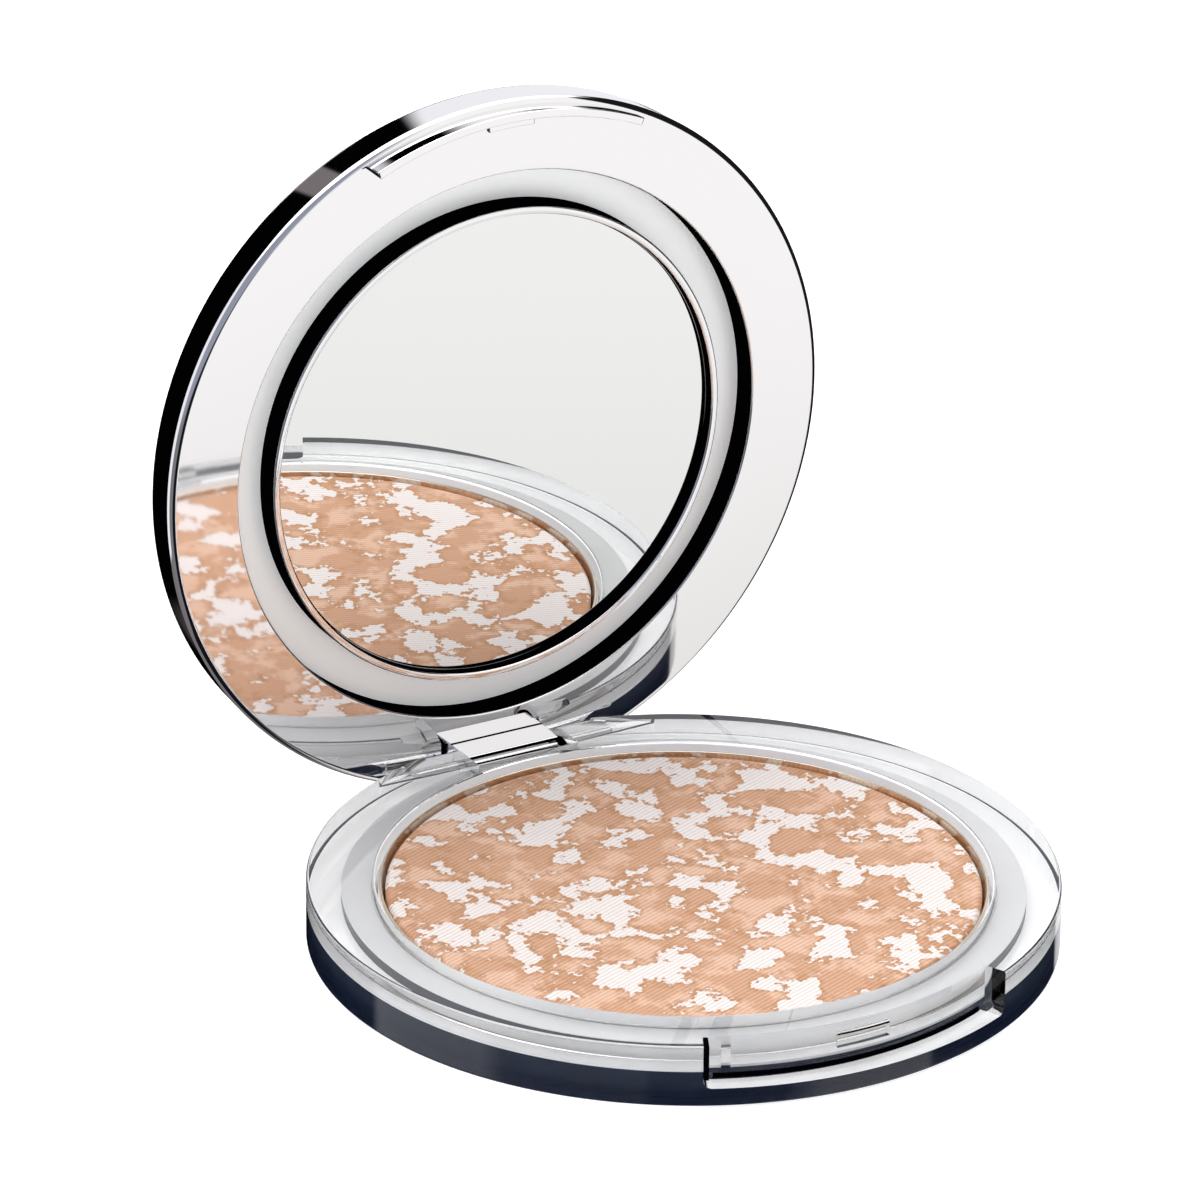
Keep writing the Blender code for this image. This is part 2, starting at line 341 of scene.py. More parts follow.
def soften(target, width, angle=40.0, segments=3):
    """Rounds the sharp edges, then keeps the flat faces flat to the light."""
    step = target.modifiers.new("round", "BEVEL")
    step.width = width * MM
    step.segments = segments
    step.limit_method = "ANGLE"
    step.angle_limit = math.radians(angle)
    settle(target)
    target.data.shade_smooth()
    flatten(target)


def crease(target, angle):
    """Sharp edges for a carved piece; its flat faces stay flat to the light."""
    target.data.shade_smooth()
    target.data.set_sharp_from_angle(angle=math.radians(angle))
    flatten(target)


def flatten(target):
    """Normals follow the large faces, so flat faces shade flat beside rounded edges."""
    step = target.modifiers.new("flat_faces", "WEIGHTED_NORMAL")
    step.mode = "FACE_AREA"
    step.weight = 100
    step.keep_sharp = True
    settle(target)


def open_up(target):
    """Swings a lid piece, drawn shut, to the open rest pose."""
    hinge = Matrix.Translation(HINGE * MM)
    target.data.transform(hinge @ Matrix.Rotation(-SHUT_ANGLE, 4, "X") @ hinge.inverted())


# ---------------------------------------------------------------- materials

class Nodes:
    """Short way to wire a material's nodes."""

    def __init__(self, tree):
        self.tree = tree

    def add(self, kind, **settings):
        node = self.tree.nodes.new(kind)
        for key, value in settings.items():
            if hasattr(node, key):
                setattr(node, key, value)
            else:
                node.inputs[key.replace("_", " ")].default_value = value
        return node

    def link(self, source, target):
        self.tree.links.new(source, target)

    def ramp(self, source, stops, interpolation="LINEAR"):
        """Colour ramp over (position, colour) stops."""
        node = self.add("ShaderNodeValToRGB")
        node.color_ramp.interpolation = interpolation
        while len(node.color_ramp.elements) < len(stops):
            node.color_ramp.elements.new(0.5)
        for element, (place, colour) in zip(node.color_ramp.elements, stops):
            element.position = place
            element.color = (*colour, 1.0)
        self.link(source, node.inputs["Fac"])
        return node.outputs["Color"]

    def noise(self, vector, scale, detail=4.0, roughness=0.5, distortion=0.0):
        node = self.add("ShaderNodeTexNoise")
        node.inputs["Scale"].default_value = scale
        node.inputs["Detail"].default_value = detail
        node.inputs["Roughness"].default_value = roughness
        node.inputs["Distortion"].default_value = distortion
        self.link(vector, node.inputs["Vector"])
        return node.outputs["Fac"]

    def place(self, scale=(1, 1, 1), rotation=(0, 0, 0), location=(0, 0, 0)):
        """The object's own coordinates, scaled and turned."""
        coordinates = self.add("ShaderNodeTexCoord")
        mapping = self.add("ShaderNodeMapping")
        mapping.inputs["Scale"].default_value = scale
        mapping.inputs["Rotation"].default_value = rotation
        mapping.inputs["Location"].default_value = location
        self.link(coordinates.outputs["Object"], mapping.inputs["Vector"])
        return mapping.outputs["Vector"]

    def span(self, source, low, high):
        """Maps 0..1 to low..high."""
        node = self.add("ShaderNodeMapRange")
        node.inputs["To Min"].default_value = low
        node.inputs["To Max"].default_value = high
        self.link(source, node.inputs["Value"])
        return node.outputs["Result"]

    def weigh(self, source, weight, other):
        """source times weight, plus other."""
        node = self.add("ShaderNodeMath", operation="MULTIPLY_ADD")
        self.link(source, node.inputs[0])
        node.inputs[1].default_value = weight
        self.link(other, node.inputs[2])
        return node.outputs[0]

    def times(self, first, second):
        node = self.add("ShaderNodeMath", operation="MULTIPLY")
        self.link(first, node.inputs[0])
        self.link(second, node.inputs[1])
        return node.outputs[0]

    def multiply(self, first, second):
        node = self.add("ShaderNodeVectorMath", operation="MULTIPLY")
        self.link(first, node.inputs[0])
        self.link(second, node.inputs[1])
        return node.outputs[0]

    def fade(self, source, low, high):
        """0 below low, 1 above high, smooth between."""
        node = self.add("ShaderNodeMapRange", interpolation_type="SMOOTHSTEP")
        node.inputs["From Min"].default_value = low
        node.inputs["From Max"].default_value = high
        self.link(source, node.inputs["Value"])
        return node.outputs["Result"]

    def mix(self, factor, first, second):
        node = self.add("ShaderNodeMix", data_type="RGBA")
        self.link(factor, node.inputs["Factor"])
        sockets = [s for s in node.inputs if s.type == "RGBA"]
        for socket, colour in zip(sockets, (first, second)):
            if isinstance(colour, tuple):
                socket.default_value = (*colour, 1.0)
            else:
                self.link(colour, socket)
        return [s for s in node.outputs if s.type == "RGBA"][0]

    def bump(self, height, strength, distance):
        node = self.add("ShaderNodeBump")
        node.inputs["Strength"].default_value = strength
        node.inputs["Distance"].default_value = distance
        self.link(height, node.inputs["Height"])
        return node.outputs["Normal"]


def new_material(name, colour, roughness, metallic=0.0):
    """Material, its shader and its wiring."""
    made = bpy.data.materials.new(name)
    made.use_nodes = True
    shader = made.node_tree.nodes["Principled BSDF"]
    shader.inputs["Base Color"].default_value = (*colour, 1.0)
    shader.inputs["Roughness"].default_value = roughness
    shader.inputs["Metallic"].default_value = metallic
    return made, shader, Nodes(made.node_tree)


def clear_acrylic():
    """Clear plastic with a barely seen haze."""
    made, shader, n = new_material("clear_acrylic", (0.995, 0.995, 0.995), 0.0)
    shader.inputs["Transmission Weight"].default_value = 1.0
    shader.inputs["IOR"].default_value = 1.49
    haze = n.noise(n.place(), 900.0, detail=3.0)
    n.link(n.span(haze, 0.0, 0.02), shader.inputs["Roughness"])
    return made


def chrome(name, colour, rough_low, rough_high):
    """Metallised plastic, with faint haze patches in the gloss."""
    made, shader, n = new_material(name, colour, rough_low, metallic=1.0)
    haze = n.noise(n.place(), 220.0, detail=5.0, roughness=0.6)
    n.link(n.span(haze, rough_low, rough_high), shader.inputs["Roughness"])
    return made


def satin():
    """Frosted metallising on the groove's floor: pale, with a fine even grain and a glow of painted
    light.
    """
    made, shader, n = new_material("satin_chrome", (0.94, 0.94, 0.93), 0.4, metallic=0.2)
    # painted light: the emission lifts the floor out of the shade of the black walls beside it
    shader.inputs["Emission Color"].default_value = (1.0, 1.0, 0.98, 1.0)
    shader.inputs["Emission Strength"].default_value = 0.22
    grain = n.noise(n.place(), 5200.0, detail=3.0)
    n.link(n.mix(grain, (0.93, 0.93, 0.92), (0.97, 0.97, 0.96)), shader.inputs["Base Color"])
    n.link(n.span(grain, 0.36, 0.44), shader.inputs["Roughness"])
    n.link(n.bump(grain, 0.1, 0.00002), shader.inputs["Normal"])
    return made


def gloss_plastic(name, colour, rough_low, rough_high, shine=0.5, metallic=0.0, glow=0.0):
    """Painted or moulded plastic with clouded tone and gloss; glow is painted light, a little white
    emission.
    """
    made, shader, n = new_material(name, colour, rough_low, metallic)
    shader.inputs["Emission Color"].default_value = (1.0, 1.0, 1.0, 1.0)
    shader.inputs["Emission Strength"].default_value = glow
    shader.inputs["Specular IOR Level"].default_value = shine
    tone = n.noise(n.place(), 160.0, detail=4.0)
    deep = tuple(c * 0.9 for c in colour)
    n.link(n.mix(tone, deep, colour), shader.inputs["Base Color"])
    n.link(n.span(tone, rough_low, rough_high), shader.inputs["Roughness"])
    return made


def tinplate():
    """Pan metal with drawing lines round the wall."""
    made, shader, n = new_material("tinplate", (0.76, 0.64, 0.52), 0.2, metallic=1.0)
    lines = n.noise(n.place(scale=(1, 1, 14)), 700.0, detail=3.0)
    n.link(n.span(lines, 0.14, 0.34), shader.inputs["Roughness"])
    n.link(n.bump(lines, 0.15, 0.00005), shader.inputs["Normal"])
    return made


def pressed_powder():
    """Marbled powder: a peach body, tan clouds and crisp white patches, ribbed by the press; the rib
    valleys carry painted shade and some pigment, the crests a painted highlight.
    """
    made, shader, n = new_material("pressed_powder", (0.70, 0.42, 0.28), 0.85)
    shader.inputs["Specular IOR Level"].default_value = 0.2
    peach_deep, peach_pale = (0.60, 0.35, 0.225), (0.72, 0.475, 0.345)
    tan, chalk = (0.50, 0.27, 0.145), (0.80, 0.735, 0.705)
    rib_valley_shade, rib_crest_highlight = (0.80, 0.77, 0.74), (1.08, 1.08, 1.08)
    spread = n.place(location=(0.031, 0.017, 0.0))
    blobs = n.noise(spread, 225.0, detail=6.0, roughness=0.52, distortion=0.1)
    flecks = n.noise(spread, 1100.0, detail=3.0, roughness=0.55)
    white = n.ramp(n.weigh(flecks, 0.30, blobs), [(0.682, (0, 0, 0)), (0.692, (1, 1, 1))])
    near = n.ramp(blobs, [(0.45, (0, 0, 0)), (0.53, (1, 1, 1))])
    cloud = n.noise(n.place(location=(0.2, 0.1, 0.0)), 210.0, detail=6.0, roughness=0.6)
    pale = n.ramp(cloud, [(0.48, (0, 0, 0)), (0.56, (1, 1, 1))])
    grain = n.noise(n.place(), 3800.0, detail=2.0)
    body = n.mix(near, n.mix(pale, peach_deep, peach_pale), tan)
    coloured = n.mix(white, body, chalk)
    ribs = n.add("ShaderNodeTexWave", wave_type="BANDS", bands_direction="Y")
    ribs.inputs["Scale"].default_value = math.pi / 10 / (RIB_PITCH * MM)    # one band per rib
    ribs.inputs["Distortion"].default_value = 0.0
    n.link(n.place(rotation=(0, 0, -RIB_SLANT)), ribs.inputs["Vector"])
    # partly painted light: darker rib valleys are painted shade with some pigment, lighter crests a
    # painted highlight, mixed with random grain
    shade = n.mix(n.weigh(grain, 0.6, ribs.outputs["Fac"]), rib_valley_shade, rib_crest_highlight)
    n.link(n.multiply(coloured, shade), shader.inputs["Base Color"])
    n.link(n.bump(grain, 0.35, 0.00006), shader.inputs["Normal"])
    return made


# ---------------------------------------------------------------- base pieces

def place(piece, body, slot_name, look, *nodes):
    """Gives a piece its look, its body and the CAD nodes it stands for; slot_name is not used."""
    piece.data.materials.clear()
    piece.data.materials.append(look)
    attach(piece, body)
    if nodes:
        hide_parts(*nodes)
    return piece


def make_ring():
    """Clear ring with its flat deck, notch, catch window, hinge bay, ears and pin bore."""
    ring = turned("clear_ring", rounded([
        (BORE_R, STEP_Z, STEP_ROUND), (SKIRT_R, STEP_Z, 0.0), (SKIRT_R, 0.0, 0.0),
        (BASE_R, 0.0, FOOT_ROUND), (BASE_R, BASE_H, RIM_ROUND), (BORE_R, BASE_H, BORE_ROUND)], steps=6))
    top, back = BASE_H + OVERRUN, BASE_R + 2 * OVERRUN
    notch = sector("notch", (NOTCH_R, BASE_R + OVERRUN), (NOTCH_Z, top), NOTCH_HALF_ANGLE,
                   corner=NOTCH_CORNER)
    window = sector("window", (NOTCH_R - WINDOW_DEPTH, NOTCH_R + OVERRUN / 2), WINDOW_Z,
                    WINDOW_HALF_W / NOTCH_R)
    bay = slab("bay", [(BAY_FRONT_Y, -OVERRUN), (back, -OVERRUN), (back, top), (BAY_FRONT_Y, top)],
               BAY_HALF_W)
    relief = arc((HINGE.y, HINGE.z), EAR_R, *EAR_RELIEF, steps=16)
    ear = slab("ear", [(BASE_R + OVERRUN, top), (BASE_R + OVERRUN, relief[0][1])] + relief
               + [(relief[-1][0], top)], EAR_HALF_W)
    bore = rod("bore", PIN_BORE_R, BASE_R, HINGE)
    carve(ring, [notch, window, bay, ear, bore])
    crease(ring, CREASE)
    return ring


def make_powder():
    """Cake whose top is pressed in fine slanting ribs, its rim rounded over."""
    height, rim_drop, rim_width = 0.045, 0.42, 0.55
    rows_per_rib, columns = 6, 72
    inside = 0.99999                     # keeps the first and last rows from shrinking to a point
    rows = int(2 * POWDER_R / RIB_PITCH * rows_per_rib)
    turn = Matrix.Rotation(RIB_SLANT, 3, "Z")
    bm = bmesh.new()
    grid = []
    for i in range(rows + 1):
        v = POWDER_R * (-1 + 2 * i / rows) * inside
        reach = math.sqrt(POWDER_R ** 2 - v * v)
        row = []
        for k in range(columns + 1):
            u = reach * math.sin(math.pi / 2 * (-1 + 2 * k / columns))
            fade = min(1.0, (POWDER_R - math.hypot(u, v)) / rim_width)
            drop = rim_drop * (1 - fade) ** 2
            rib = height * 0.5 * (1 + math.sin(2 * math.pi * v / RIB_PITCH)) * fade
            row.append(bm.verts.new(turn @ Vector((u, v, POWDER_TOP - drop - height + rib)) * MM))
        grid.append(row)
    for low, high in zip(grid, grid[1:]):
        for k in range(columns):
            bm.faces.new((low[k], low[k + 1], high[k + 1], high[k]))
    rim = [e for e in bm.edges if e.is_boundary]
    grown = bmesh.ops.extrude_edge_only(bm, edges=rim)
    for v in grown["geom"]:
        if isinstance(v, bmesh.types.BMVert):
            v.co.z = POWDER_LOW * MM
    bmesh.ops.contextual_create(bm, geom=[e for e in bm.edges if e.is_boundary])
    return finish_mesh("powder_cake", bm, sharp=60.0)


def make_film(name, radius, low, high):
    """Thin round film of glue."""
    edge = 0.02
    return turned(name, rounded([(0, low, 0), (radius, low, edge), (radius, high, edge), (0, high, 0)]))


def make_shades():
    """Dark sheets of painted shade, set where the clear plastic shows dark edges about the window and
    the notch.
    """
    window = sector("window_shade", (NOTCH_R - WINDOW_DEPTH + SHADE_THICK, NOTCH_R - SHADE_GAP),
                    (WINDOW_Z[1] - SHADE_GAP - WINDOW_SHADE_H, WINDOW_Z[1] - SHADE_GAP),
                    (WINDOW_HALF_W - 0.05) / NOTCH_R)
    foot = sector("notch_foot_shade", (NOTCH_R + SHADE_GAP, NOTCH_R + SHADE_GAP + SHADE_THICK),
                  (NOTCH_Z + SHADE_GAP, NOTCH_Z + FOOT_SHADE_TOP), NOTCH_HALF_ANGLE - FOOT_SHADE_INSET)
    end = sector("notch_end_shade", (NOTCH_R + SHADE_THICK, BASE_R - END_SHADE_MARGIN),
                 (NOTCH_Z + END_SHADE_LOW, BASE_H - 0.1), END_SHADE_HALF_ANGLE)
    end.data.transform(Matrix.Rotation(-NOTCH_HALF_ANGLE + 1.2 * END_SHADE_HALF_ANGLE, 4, "Z"))
    return [window, foot, end]


def make_plate(seat, flange_low):
    """Navy plate: a flat bottom with an upright rim that meets the tray's flange."""
    return turned("navy_plate", rounded([
        (0, 0, 0), (seat, 0, 0.0), (seat, flange_low, 0.0), (seat - PLATE_RIM, flange_low, 0.0),
        (seat - PLATE_RIM, PLATE_THICK, 0.1), (0, PLATE_THICK, 0)]))


def make_tray(seat, flange):
    """Silver tray: a dish for the pan, with a flange that reaches out under the deck."""
    inner, outer = TRAY_WALL_R
    dish_z = TRAY_LOW + TRAY_THICK
    return turned("silver_tray", rounded([
        (0, TRAY_LOW, 0), (outer, TRAY_LOW, 0.2), (outer, flange[0], 0.0), (seat, flange[0], 0.0),
        (seat, flange[1], 0.0), (inner, flange[1], 0.1), (inner, dish_z, 0.1), (0, dish_z, 0)]))


def open_bay(piece, spare):
    """Cuts the hinge bay out of the piece, with spare room about it."""
    front = BAY_FRONT_Y - spare
    carve(piece, [slab("opening", [(front, -OVERRUN), (BASE_R, -OVERRUN), (BASE_R, OPENING_HIGH),
                                   (front, OPENING_HIGH)], BAY_HALF_W + spare)])
    crease(piece, CREASE)


def make_pan():
    """Open metal pan, slightly narrower at the bottom."""
    foot_r = PAN_R - PAN_TAPER
    pan = turned("metal_pan", rounded([
        (0, PAN_LOW, 0), (foot_r, PAN_LOW, PAN_FOOT_ROUND), (PAN_R, PAN_TOP, PAN_RIM_ROUND),
        (PAN_R - PAN_WALL, PAN_TOP, PAN_RIM_ROUND),
        (foot_r - PAN_WALL, PAN_LOW + PAN_WALL, PAN_FOOT_ROUND / 2),
        (0, PAN_LOW + PAN_WALL, 0)]))
    flatten(pan)
    return pan


def build_hinge(looks):
    """The pin, and a dark disc in each gap beside the lid's knuckle, painted shade for the shadowed
    gaps.
    """
    for side, side_name in ((-1, "left"), (1, "right")):
        gap_shade = rod("hinge_gap_shade_" + side_name, GAP_SHADE_R, GAP_SHADE_HALF_W,
                     (side * (KNUCKLE_HALF_W + BAY_HALF_W) / 2, HINGE.y, HINGE.z))
        soften(gap_shade, 0.05)
        place(gap_shade, "base", "navy_plastic", looks["dark"])
    pin_end, pin_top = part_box("hinge_pin")[1].x / MM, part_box("hinge_pin")[1].z / MM
    pin = rod("steel_pin", pin_top - HINGE.z, pin_end, HINGE)
    soften(pin, EDGE_ROUND)
    place(pin, "base", "pin_steel", looks["steel"], "hinge_pin")


def build_base(looks):
    place(make_ring(), "base", "clear_acrylic", looks["clear"], "base_ring")
    for piece in make_shades():
        # painted shade: near-black sheets about the notch and its window
        place(piece, "base", "navy_plastic", looks["dark"])

    seat = SKIRT_R + TOUCH
    flange = (TRAY_TOP - FLANGE_THICK, STEP_Z + TOUCH)
    plate, tray = make_plate(seat, flange[0]), make_tray(seat, flange)
    open_bay(plate, PLATE_SPARE)
    open_bay(tray, TRAY_SPARE)
    place(plate, "base", "navy_plastic", looks["navy"], "base_plate")
    place(tray, "base", "silver_lacquer", looks["silver"], "pan_tray")

    low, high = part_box("pan_adhesive")
    glue = make_film("pan_glue", high.x / MM, low.z / MM, high.z / MM)
    place(glue, "base", "glue_film", looks["glue"], "pan_adhesive")
    place(make_pan(), "base", "tinplate", looks["tin"], "pan")
    # Pale sheets on the pan's wall and in the bore; their glow is painted light that lightens the bands
    # seen through the clear ring
    sleeve = wall_ring("pan_sleeve", PAN_R - SLEEVE_INSET, SLEEVE_THICK, PAN_LOW + 0.5, PAN_TOP - 0.35)
    place(sleeve, "base", "tinplate", looks["white"])
    lining = wall_ring("bore_lining", BORE_R - LINING_INSET, LINING_THICK, PAN_TOP - 1.2, BASE_H - 0.25)
    place(lining, "base", "silver_lacquer", looks["lining"])
    place(make_powder(), "base", "pressed_powder", looks["powder"], "powder")
    build_hinge(looks)


# ---------------------------------------------------------------- lid pieces

def make_shell():
    """The lid's outer cup: mirror-bright rim face, rounded edges, faintly domed back."""
    shoulder = LID_BACK_Z - DOME
    reach = (0.9, 0.75, 0.6, 0.45, 0.3, 0.15, 0)
    dome = [(CROWN_R * s, shoulder + DOME * (1 - s * s)) for s in reach]
    rim = rounded([(WELL_R, WELL_TOP_Z, 0), (WELL_R, LID_FACE_Z, WELL_ROUND),
                   (LID_R, LID_FACE_Z, FACE_ROUND), (LID_R - LID_TAPER, shoulder, BACK_ROUND),
                   (CROWN_R, shoulder, 0)], steps=6)
    shell = turned("chrome_shell", [(0, WELL_TOP_Z)] + rim + dome)
    flatten(shell)
    return shell


def make_knuckle():
    """Hinge block, round about the pin. Its flat front faces up when the lid is open."""
    front, back = HINGE.y - KNUCKLE_FRONT, HINGE.y + KNUCKLE_BACK
    root_z = LID_FACE_Z + KNUCKLE_ROOT
    nose = arc((HINGE.y, HINGE.z), KNUCKLE_R, 180, 360, steps=24)
    knuckle = slab("chrome_knuckle", [(back, root_z), (front - KNUCKLE_LEAN, root_z),
                                      (front, HINGE.z + KNUCKLE_STEP)] + nose, KNUCKLE_HALF_W)
    carve(knuckle, [rod("knuckle_bore", PIN_BORE_R, KNUCKLE_HALF_W + OVERRUN, HINGE)])
    soften(knuckle, EDGE_ROUND)
    return knuckle


def make_knuckle_shades():
    """Dark hairlines of painted shade along the knuckle: at its root on the lid's face, and at its front
    step.
    """
    front = HINGE.y - KNUCKLE_FRONT
    root_low, root_front, inside = LID_FACE_Z - 0.14, front - 0.11, front + 0.1
    root = slab("knuckle_root_shade", [(root_front, root_low), (inside, root_low), (inside, LID_FACE_Z),
                                      (root_front, LID_FACE_Z)], KNUCKLE_HALF_W - KNUCKLE_SHADE_INSET)
    step_z = HINGE.z + KNUCKLE_STEP
    near, far = front + 0.05, front + 0.4
    step = slab("knuckle_step_shade", [(near, step_z - 0.06), (far, step_z - 0.12), (far, step_z + 0.1),
                                      (near, step_z + 0.1)], KNUCKLE_HALF_W - KNUCKLE_SHADE_INSET)
    return [root, step]


def build_rim(looks):
    """Shell, lip, hook and knuckle, with the hairlines of painted shade along the knuckle."""
    shell = make_shell()
    lip = sector("chrome_lip", LIP_R, (LIP_Z, LID_FACE_Z + LIP_ROOT), LIP_HALF_ANGLE, flare=LIP_FLARE)
    soften(lip, EDGE_ROUND)
    hook = sector("chrome_hook", (HOOK_R, LIP_R[0] + HOOK_ROOT), HOOK_Z, HOOK_HALF_W / HOOK_R)
    soften(hook, 0.1)
    knuckle = make_knuckle()
    place(shell, "lid", "bright_chrome", looks["chrome"], "lid_shell")
    for piece in (lip, hook, knuckle):
        place(piece, "lid", "bright_chrome", looks["chrome"])
    knuckle_shades = make_knuckle_shades()
    # painted shade: dark strips along the knuckle
    for shade_strip in knuckle_shades:
        place(shade_strip, "lid", "bright_chrome", looks["dark"])
    return [shell, lip, hook, knuckle, *knuckle_shades]


def build_groove(looks):
    """Chrome walls painted black as a painted dark reflection, the pale floor and the bright boss about
    the mirror.
    """
    edge = LID_FACE_Z + GROOVE_WALL_EDGE
    root_z = GROOVE_Z + 0.1
    # painted reflection: the chrome walls take the near-black material in place of the dark they would
    # mirror
    walls = [
        ("groove_wall", WELL_R - GROOVE_WALL_INSET, WELL_TOP_Z, "bright_chrome"),
        ("boss_outer_wall", BOSS_R[1] - 0.04, root_z, "satin_chrome"),
        ("boss_inner_wall", BOSS_R[0] - GROOVE_WALL_INSET, MIRROR_FACE_Z + 0.05, "satin_chrome")]
    pieces = []
    for name, radius, root, slot_name in walls:
        pieces.append(wall_ring(name, radius, GROOVE_WALL, edge, root))
        place(pieces[-1], "lid", slot_name, looks["dark"])

    floor_r = FRAME_R + UNDERLAP
    floor = turned("groove_floor", rounded([
        (0, GROOVE_Z, 0), (floor_r, GROOVE_Z, 0.0), (floor_r, FRAME_REAR_Z, 0.1), (0, FRAME_REAR_Z, 0)]))
    place(floor, "lid", "satin_chrome", looks["satin"], "mirror_frame")
    inner, outer = BOSS_R
    boss = turned("mirror_boss", rounded([
        (inner, root_z, 0), (inner, LID_FACE_Z, BOSS_ROUND), (outer, LID_FACE_Z, BOSS_ROUND),
        (outer, root_z, 0)]))
    flatten(boss)
    place(boss, "lid", "satin_chrome", looks["chrome"])
    return pieces + [floor, boss]


def build_mirror(looks):
    """Round glass and the glue film behind it."""
    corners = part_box("mirror_adhesive")
    low, high = (HINGE.z + corner.y / MM - HINGE.y for corner in corners)
    glue = make_film("mirror_glue", corners[1].x / MM, low, high)
    place(glue, "lid", "glue_film", looks["glue"], "mirror_adhesive")
    glass_r = MIRROR_R + UNDERLAP
    glass = turned("mirror_glass", rounded([
        (0, MIRROR_FACE_Z, 0), (glass_r, MIRROR_FACE_Z, 0.1), (glass_r, MIRROR_REAR_Z, 0.05),
        (0, MIRROR_REAR_Z, 0)]))
    flatten(glass)
    place(glass, "lid", "mirror_glass", looks["mirror"], "mirror")
    return [glue, glass]


def build_lid(looks):
    """The lid is drawn shut and then swung open."""
    for piece in build_rim(looks) + build_groove(looks) + build_mirror(looks):
        open_up(piece)


# ---------------------------------------------------------------- studio

def make_floor():
    """White table. The chrome sees the studio below the horizon instead of it."""
    bm = bmesh.new()
    bmesh.ops.create_grid(bm, x_segments=1, y_segments=1, size=TABLE_HALF)
    bmesh.ops.translate(bm, verts=bm.verts, vec=(0, 0, -TABLE_GAP))
    floor = finish_mesh("studio_floor", bm)
    look, shader, n = new_material("white_table", (0.85, 0.85, 0.85), 0.6)
    shader.inputs["Emission Color"].default_value = (1.0, 1.0, 1.0, 1.0)
    shader.inputs["Emission Strength"].default_value = 0.42
    shader.inputs["Specular IOR Level"].default_value = 0.0
    speckle = n.noise(n.place(), 40.0)
    n.link(n.mix(speckle, (0.84, 0.84, 0.84), (0.86, 0.86, 0.86)), shader.inputs["Base Color"])
    floor.data.materials.append(look)
    floor.visible_glossy = False


def make_backdrop():
    """White wall all round the table, there for the camera only: it lights and mirrors nothing."""
    (near, far), (low, high) = BACKDROP_R, BACKDROP_Z
    outline = [(near, low), (far, low), (far, high), (near, high)]
    backdrop = turned("studio_backdrop", [(r / MM, z / MM) for r, z in outline], steps=96)
    look, shader, n = new_material("white_paper", (0.0, 0.0, 0.0), 1.0)
    shader.inputs["Specular IOR Level"].default_value = 0.0
    shader.inputs["Emission Strength"].default_value = 1.0
    weave = n.noise(n.place(), 20.0)
    n.link(n.mix(weave, (0.99, 0.99, 0.99), (1.0, 1.0, 1.0)), shader.inputs["Emission Color"])
    backdrop.data.materials.append(look)
    for kind in ("diffuse", "glossy", "transmission", "shadow"):
        setattr(backdrop, "visible_" + kind, False)


def light_behind(n, x, z):
    """Behind the compact: a black card on the left, which gives the lid's side its black
    band, and white to the right, above and far left."""
    light = n.mix(n.fade(n.weigh(x, 1.2, z), 0.70, 0.75), CARD_BLACK, CARD_WHITE)
    light = n.mix(n.fade(x, 0.49, 0.53), light, CARD_WHITE)
    light = n.mix(n.fade(x, -0.57, -0.63), light, CARD_WHITE)
    # White gap in the card, straight behind: the shut lid's back mirrors it
    gap = n.times(n.fade(x, -0.13, -0.08), n.fade(x, 0.14, 0.09))
    gap = n.times(gap, n.times(n.fade(z, 0.20, 0.26), n.fade(z, 0.45, 0.40)))
    light = n.mix(gap, light, CARD_WHITE)
    # Grey floor under the card, and the narrow grey patch in the lid's black band
    light = n.mix(n.fade(z, -0.54, -0.58), light, CARD_GREY)
    patch = n.times(n.fade(x, -0.135, -0.12), n.fade(x, -0.02, -0.035))
    return n.mix(n.times(patch, n.fade(z, 0.38, 0.42)), light, CARD_GREY)


def light_ahead(n, x, z):
    """In front: a pale table and room on the right, darker on the left."""
    pale = n.mix(n.fade(z, -0.445, -0.385), TABLE_NEAR, TABLE_FAR)
    table = n.mix(n.fade(x, -0.60, -0.55), TABLE_GREY, TABLE_DARK)
    table = n.mix(n.fade(x, 0.0, 0.25), table, pale)
    room = n.mix(n.fade(x, -0.1, 0.25), ROOM_DIM, ROOM_PALE)
    return n.mix(n.fade(z, -0.1, 0.05), table, room)


def make_world():
    """Studio light by direction: x to the right, y to the back, z up. A lamp hangs overhead and
    the far right is dark."""
    world = bpy.data.worlds.new("studio")
    bpy.context.scene.world = world
    world.use_nodes = True
    n = Nodes(world.node_tree)
    direction = n.add("ShaderNodeTexCoord")
    axes = n.add("ShaderNodeSeparateXYZ")
    n.link(direction.outputs["Generated"], axes.inputs[0])
    x, y, z = axes.outputs
    around = n.mix(n.fade(y, -0.08, 0.08), light_ahead(n, x, z), light_behind(n, x, z))
    around = n.mix(n.fade(x, 0.68, 0.72), around, SIDE_DARK)
    lamp = n.times(n.fade(z, 0.60, 0.75), n.fade(n.weigh(y, 0.8, z), 0.72, 0.82))
    whole = n.mix(lamp, around, LAMP)
    n.link(whole, world.node_tree.nodes["Background"].inputs["Color"])


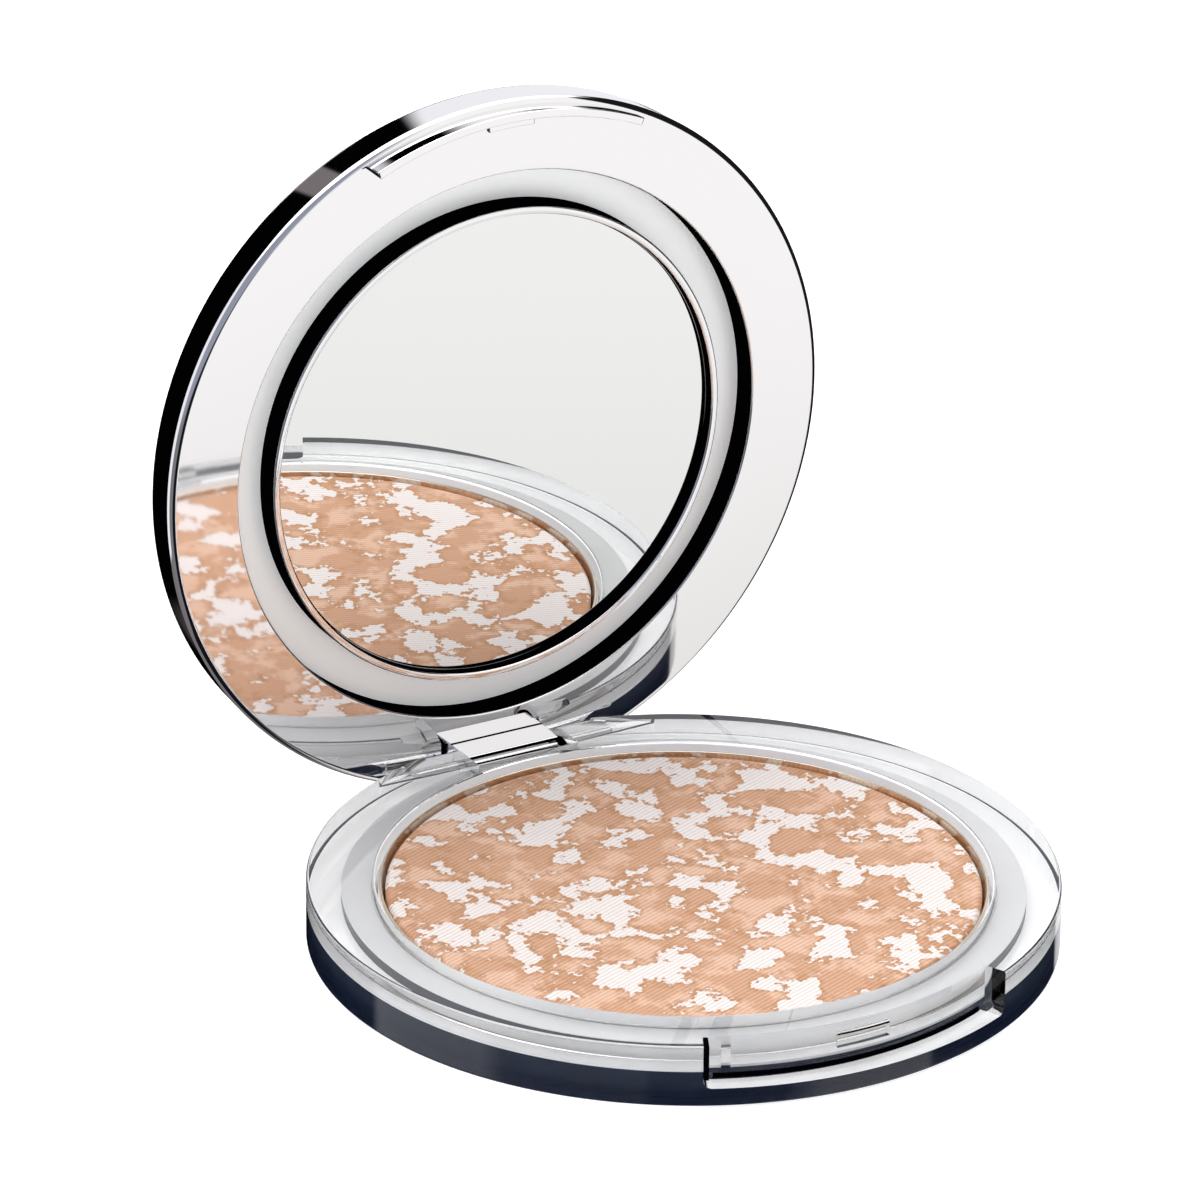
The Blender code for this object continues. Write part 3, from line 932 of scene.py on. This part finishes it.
def make_camera():
    """Long lens at the front left, a little above the table, as in the photo."""
    azimuth, elevation, roll = math.radians(-29.76), math.radians(24.83), math.radians(0.62)
    distance, right_shift, up_shift = 1.095, -0.0084, 0.0322
    back = Vector((math.sin(azimuth) * math.cos(elevation), -math.cos(azimuth) * math.cos(elevation),
                   math.sin(elevation)))
    right = Vector((math.cos(azimuth), math.sin(azimuth), 0.0))
    up = back.cross(right)
    tilted_right = math.cos(roll) * right + math.sin(roll) * up
    tilted_up = -math.sin(roll) * right + math.cos(roll) * up
    data = bpy.data.cameras.new("camera")
    data.sensor_width = 36.0
    data.lens = 339.2
    data.clip_start, data.clip_end = 0.05, 20.0
    camera = bpy.data.objects.new("camera", data)
    bpy.context.scene.collection.objects.link(camera)
    turn = Matrix((tilted_right, tilted_up, back)).transposed().to_4x4()
    place_at = back * distance + right * right_shift + up * up_shift
    camera.matrix_world = Matrix.Translation(place_at) @ turn
    bpy.context.scene.camera = camera


def make_looks():
    return {
        "clear": clear_acrylic(),
        "navy": gloss_plastic("navy_plastic", (0.008, 0.017, 0.047), 0.25, 0.35, shine=0.2),
        # painted light: the tray's glow brightens it under the clear deck
        "silver": gloss_plastic("silver_lacquer", (0.93, 0.93, 0.93), 0.3, 0.4, metallic=0.2, glow=0.06),
        "tin": tinplate(),
        "powder": pressed_powder(),
        "glue": gloss_plastic("glue_film", (0.80, 0.80, 0.76), 0.5, 0.6),
        "steel": chrome("pin_steel", (0.66, 0.66, 0.67), 0.15, 0.3),
        "chrome": chrome("bright_chrome", (0.91, 0.90, 0.905), 0.02, 0.05),
        # painted shade and painted dark reflection: the near-black of the shade sheets, knuckle strips,
        # gap discs and groove walls
        "dark": gloss_plastic("painted_shade_black", (0.0015, 0.0014, 0.0022), 0.3, 0.4, shine=0.0),
        "satin": satin(),
        # painted light: the sleeve and the lining glow
        "white": gloss_plastic("silver_lacquer_sleeve", (0.90, 0.90, 0.90), 0.4, 0.5, glow=0.14),
        "lining": gloss_plastic("silver_lacquer_lining", (0.88, 0.89, 0.91), 0.4, 0.5, shine=0.3,
                                glow=0.14),
        "mirror": chrome("mirror_glass", (0.855, 0.86, 0.855), 0.0, 0.01),
    }


def main():
    bpy.context.scene.view_settings.view_transform = "Standard"
    looks = make_looks()
    build_base(looks)
    build_lid(looks)
    make_floor()
    make_backdrop()
    make_world()
    make_camera()


main()
